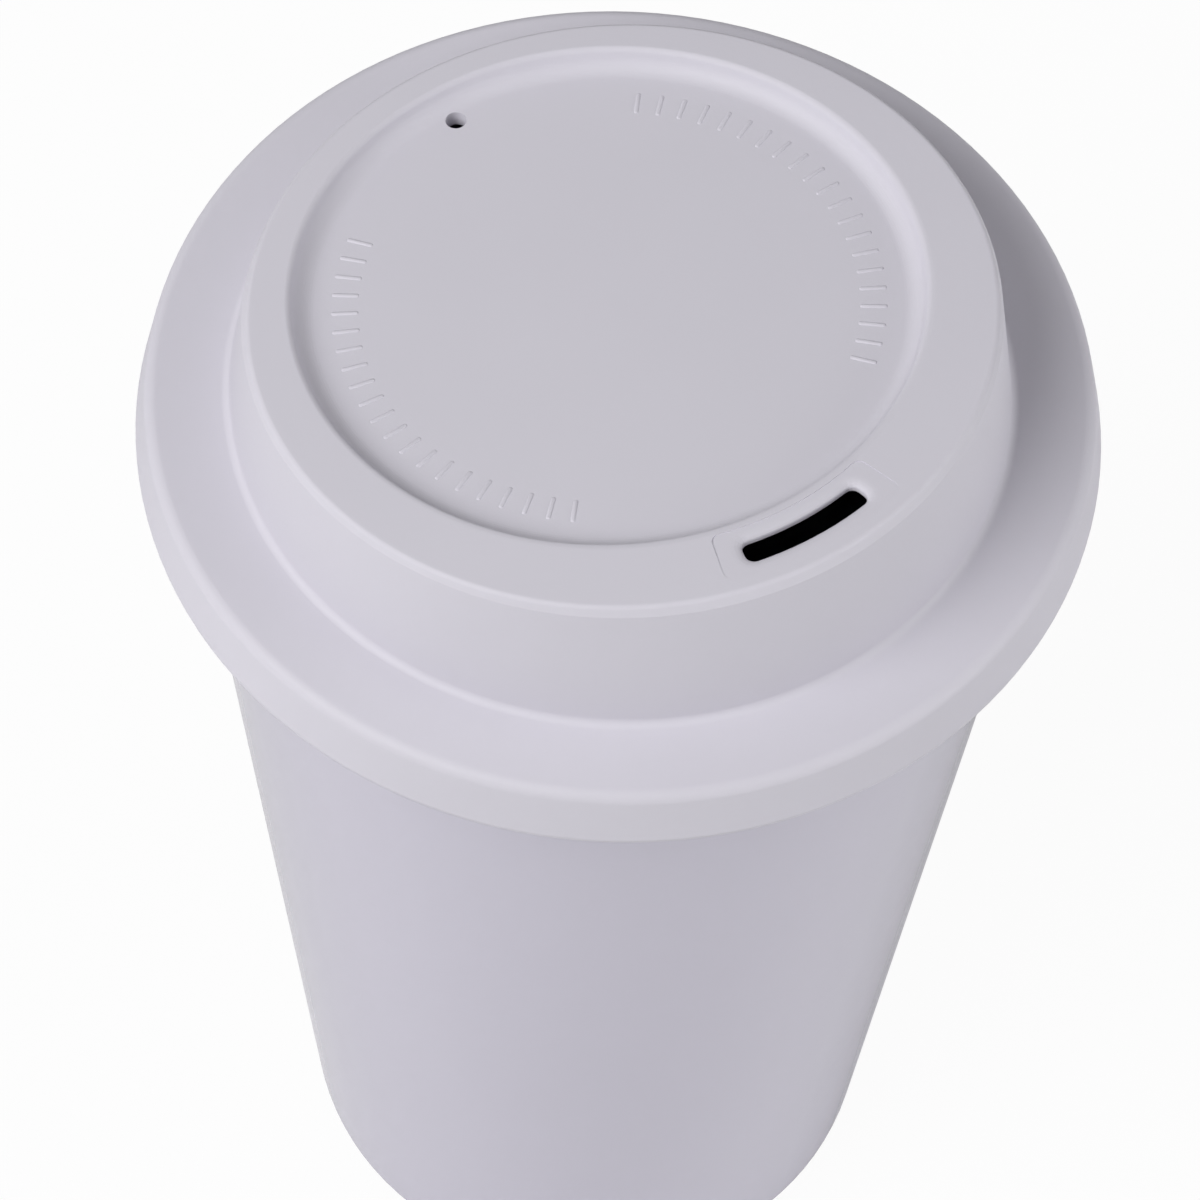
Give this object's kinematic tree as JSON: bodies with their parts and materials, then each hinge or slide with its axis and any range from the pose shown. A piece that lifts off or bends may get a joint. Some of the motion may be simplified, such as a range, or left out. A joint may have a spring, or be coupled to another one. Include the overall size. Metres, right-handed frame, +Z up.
{
  "type": "reusable coffee cup",
  "caption": "Tapered glazed cup for hot drinks with a soft push-on lid, whose sloped drinking rim carries a sip slot and surrounds a sunk panel with a vent hole.",
  "frame": {"origin": "middle of the foot ring, on the table", "axes": "+Z up along the cup's axis, sip slot towards -Y, vent hole towards +Y, +X completes the right-handed set"},
  "size_m": [0.0954, 0.0954, 0.1502],
  "materials": {
    "cup": "glossy white glaze",
    "lid": "satin off-white silicone"
  },
  "bodies": {
    "cup": {"cup": "cup"},
    "lid": {"lid": "lid"}
  },
  "joints": [
    {"name": "lid_lift", "type": "slide", "parent": "cup", "child": "lid", "axis": [0, 0, 1], "range_m": [0, 0.04]}
  ]
}
